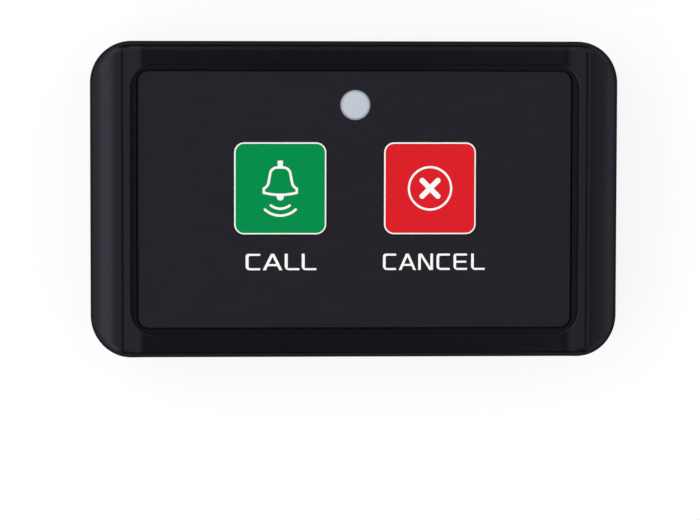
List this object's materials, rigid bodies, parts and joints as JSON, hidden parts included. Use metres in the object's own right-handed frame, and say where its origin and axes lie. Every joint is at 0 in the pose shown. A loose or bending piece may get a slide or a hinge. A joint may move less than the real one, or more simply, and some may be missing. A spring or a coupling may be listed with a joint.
{
  "type": "waiter call button",
  "caption": "Slim black tabletop call button with ridged sides, a recessed matte panel, a green bell key, a red cancel key and a round signal lamp.",
  "frame": {"origin": "centre of the footprint, on the plane that the four feet stand on", "axes": "+Z out of the face, +X to the right along the length, +Y towards the signal lamp"},
  "size_m": [0.086, 0.0516, 0.015],
  "materials": {
    "case_plastic": "fine satin moulded black",
    "rear_plastic": "fine spark-eroded black",
    "panel": "smooth matte black film",
    "key_white": "satin white",
    "key_green": "satin green",
    "key_red": "satin red",
    "lamp": "frosted diffusing window",
    "adhesive": "double-sided tape",
    "rubber": "matte black rubber",
    "screw_steel": "zinc plated",
    "board": "green solder mask",
    "copper": "tinned copper trace",
    "black_resin": "moulded epoxy",
    "tinned_metal": "tinned leads",
    "ceramic_tan": "sintered ceramic",
    "led_body": "white reflector",
    "led_resin": "clear resin with phosphor",
    "spring_steel": "bright spring steel",
    "cell_steel": "nickel plated",
    "gasket": "nylon seal"
  },
  "bodies": {
    "case": {"front_case": "case_plastic", "front_panel": "panel", "panel_adhesive": "adhesive", "rear_cover": "rear_plastic", "case_screws": "screw_steel", "board_screws": "screw_steel", "rubber_feet": "rubber", "lamp_lens": "lamp", "status_led": "led_body", "status_led_lens": "led_resin", "circuit_board": "board", "antenna_trace": "copper", "rf_chip": "black_resin", "chip_leads": "tinned_metal", "saw_resonator": "cell_steel", "transistor": "black_resin", "chip_capacitors": "ceramic_tan", "chip_resistors": "black_resin", "battery_holder": "black_resin", "battery_positive_contact": "spring_steel", "battery_negative_contact": "spring_steel", "cell_can": "cell_steel", "cell_gasket": "gasket", "cell_cap": "cell_steel", "call_switch_base": "black_resin", "call_switch_cover": "tinned_metal", "call_switch_dome": "spring_steel", "call_switch_terminals": "tinned_metal", "cancel_switch_base": "black_resin", "cancel_switch_cover": "tinned_metal", "cancel_switch_dome": "spring_steel", "cancel_switch_terminals": "tinned_metal"},
    "call_key": {"call_key_cap": "key_white", "call_key_face": "key_green", "call_key_icon": "key_white", "call_switch_plunger": "black_resin"},
    "cancel_key": {"cancel_key_cap": "key_white", "cancel_key_face": "key_red", "cancel_key_icon": "key_white", "cancel_switch_plunger": "black_resin"},
    "battery_door": {"battery_door": "rear_plastic"}
  },
  "joints": [
    {"name": "call_key_press", "type": "slide", "parent": "case", "child": "call_key", "axis": [0, 0, -1], "range_m": [0, 0.0003], "stiffness_N_per_m": 4000, "springref_m": -0.0001, "deforming": ["call_switch_dome"]},
    {"name": "cancel_key_press", "type": "slide", "parent": "case", "child": "cancel_key", "axis": [0, 0, -1], "range_m": [0, 0.0003], "stiffness_N_per_m": 4000, "springref_m": -0.0001, "deforming": ["cancel_switch_dome"]},
    {"name": "battery_door_slide", "type": "slide", "parent": "case", "child": "battery_door", "axis": [0, -1, 0], "range_m": [0, 0.03]}
  ]
}
